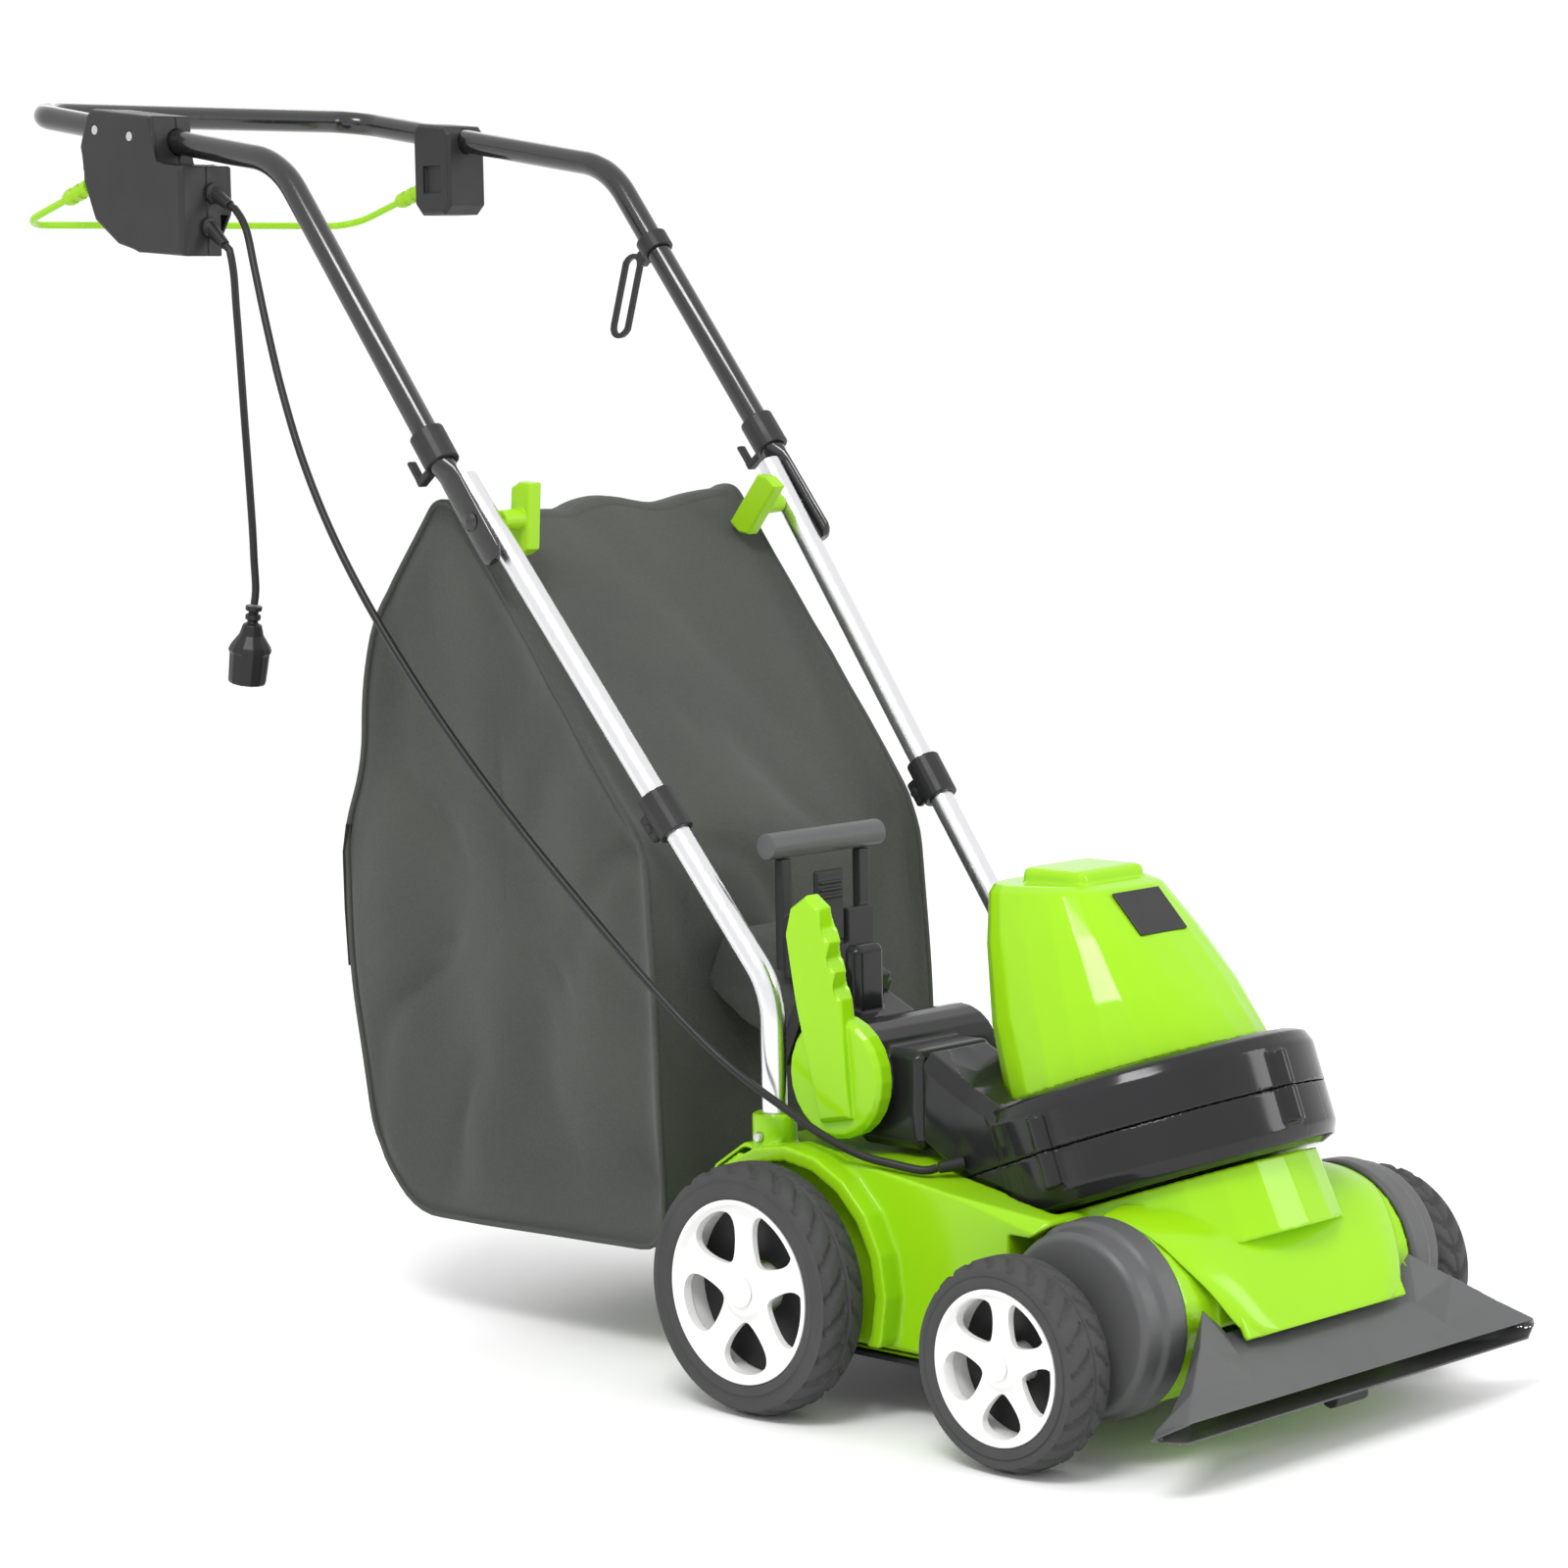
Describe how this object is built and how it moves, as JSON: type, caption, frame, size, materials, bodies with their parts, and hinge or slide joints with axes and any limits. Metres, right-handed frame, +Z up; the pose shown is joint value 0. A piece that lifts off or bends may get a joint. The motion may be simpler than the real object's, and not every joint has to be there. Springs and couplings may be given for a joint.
{
  "type": "garden vacuum",
  "caption": "Wheeled electric garden vacuum and blower with a folding U handle, a fan housing with a selector lever, a wide suction nozzle and a fabric collection bag.",
  "frame": {"origin": "on the ground, under the middle of the whole machine without its mains lead", "axes": "+Z up, +Y to the rear where the operator stands, +X to the operator's left, the side away from the switch box"},
  "size_m": [0.496, 1.3879, 1.0689],
  "materials": {
    "green_gloss": "moulded lime green, glossy",
    "green_matte": "moulded lime green, satin",
    "black_gloss": "moulded black, glossy",
    "black_matte": "moulded black, fine grain",
    "grey_plastic": "moulded dark grey, satin",
    "silver_tube": "anodised silver",
    "black_paint": "gloss black powder coat",
    "steel": "zinc plated",
    "motor_body": "bare motor can",
    "tyre_rubber": "dark grey tread",
    "rim_white": "moulded white",
    "bag_fabric": "coarse woven, dark grey green",
    "cord_black": "black flexible rubber"
  },
  "bodies": {
    "base": {"base_housing": "green_gloss", "underside_plate": "black_matte", "drum_cap_left": "grey_plastic", "drum_cap_right": "grey_plastic", "nozzle": "grey_plastic", "nozzle_skid": "black_matte", "rear_axle": "steel", "front_axle": "steel", "fan_casing_lower": "black_gloss", "fan_casing_upper": "black_gloss", "motor": "motor_body", "motor_cover": "green_gloss", "cover_badge": "black_matte", "valve_housing": "black_gloss", "lower_tube_left": "silver_tube", "lower_tube_right": "silver_tube", "socket_screw_left": "steel", "socket_screw_right": "steel", "bag_clip_left": "black_matte", "bag_clip_right": "black_matte", "coach_bolt_left": "black_paint", "coach_bolt_right": "black_paint", "cable_entry": "cord_black", "motor_cable": "cord_black"},
    "wheel_front_left": {"tyre_front_left": "tyre_rubber", "rim_front_left": "rim_white"},
    "wheel_front_right": {"tyre_front_right": "tyre_rubber", "rim_front_right": "rim_white"},
    "wheel_rear_left": {"tyre_rear_left": "tyre_rubber", "rim_rear_left": "rim_white"},
    "wheel_rear_right": {"tyre_rear_right": "tyre_rubber", "rim_rear_right": "rim_white"},
    "fan_rotor": {"impeller": "black_matte", "motor_shaft": "steel"},
    "selector": {"selector_lever": "green_gloss", "valve_rotor": "black_matte"},
    "handle": {"upper_tube": "black_paint", "handle_collar_left": "black_matte", "handle_collar_right": "black_matte", "switch_box_outer": "black_matte", "switch_box_inner": "black_matte", "switch_unit": "black_matte", "saddle_screw_1": "steel", "saddle_screw_2": "steel", "bail_bracket": "black_matte", "cord_retainer": "black_matte", "motor_gland": "cord_black", "mains_gland": "cord_black", "mains_lead": "cord_black", "plug": "cord_black"},
    "start_bail": {"bail": "green_gloss", "bail_sleeve_left": "green_matte", "bail_sleeve_right": "green_matte"},
    "lock_off": {"lock_button": "green_matte"},
    "knob_left": {"wing_nut_left": "green_matte"},
    "knob_right": {"wing_nut_right": "green_matte"},
    "collector": {"bag": "bag_fabric", "bag_frame": "black_matte", "grip_bar": "grey_plastic"},
    "latch": {"bag_latch": "black_matte"}
  },
  "joints": [
    {"name": "wheel_front_left_spin", "type": "hinge", "parent": "base", "child": "wheel_front_left", "pos_m": [0.225, -0.5343, 0.0812], "axis": [1, 0, 0], "continuous": true},
    {"name": "wheel_front_right_spin", "type": "hinge", "parent": "base", "child": "wheel_front_right", "pos_m": [-0.225, -0.5343, 0.0812], "axis": [1, 0, 0], "continuous": true},
    {"name": "wheel_rear_left_spin", "type": "hinge", "parent": "base", "child": "wheel_rear_left", "pos_m": [0.225, -0.2665, 0.1], "axis": [1, 0, 0], "continuous": true},
    {"name": "wheel_rear_right_spin", "type": "hinge", "parent": "base", "child": "wheel_rear_right", "pos_m": [-0.225, -0.2665, 0.1], "axis": [1, 0, 0], "continuous": true},
    {"name": "fan_spin", "type": "hinge", "parent": "base", "child": "fan_rotor", "pos_m": [0, -0.487, 0.221], "axis": [0, 0.342, 0.9397], "continuous": true},
    {"name": "selector_turn", "type": "hinge", "parent": "base", "child": "selector", "pos_m": [0, -0.282, 0.259], "axis": [1, 0, 0], "range_deg": [0, 80]},
    {"name": "handle_fold", "type": "hinge", "parent": "base", "child": "handle", "pos_m": [0, 0.076, 0.695], "axis": [1, 0, 0], "range_deg": [0, 160], "deforming": ["motor_cable"]},
    {"name": "bail_pull", "type": "hinge", "parent": "handle", "child": "start_bail", "pos_m": [0, 0.545, 1], "axis": [1, 0, 0], "range_deg": [0, 32], "stiffness_Nm_per_rad": 0.5, "springref_deg": -20.05},
    {"name": "lock_press", "type": "slide", "parent": "handle", "child": "lock_off", "axis": [-1, 0, 0], "range_m": [0, 0.004], "stiffness_N_per_m": 600, "springref_m": -0.003},
    {"name": "wing_nut_left_turn", "type": "hinge", "parent": "base", "child": "knob_left", "pos_m": [0.139, 0.076, 0.695], "axis": [1, 0, 0], "continuous": true},
    {"name": "wing_nut_right_turn", "type": "hinge", "parent": "base", "child": "knob_right", "pos_m": [-0.139, 0.076, 0.695], "axis": [1, 0, 0], "continuous": true},
    {"name": "bag_lift", "type": "slide", "parent": "base", "child": "collector", "axis": [0, 0.9063, 0.4226], "range_m": [0, 0.1]},
    {"name": "latch_press", "type": "hinge", "parent": "collector", "child": "latch", "pos_m": [-0.052, -0.186, 0.352], "axis": [-1, 0, 0], "range_deg": [0, 25], "stiffness_Nm_per_rad": 0.2, "springref_deg": -11.46}
  ]
}
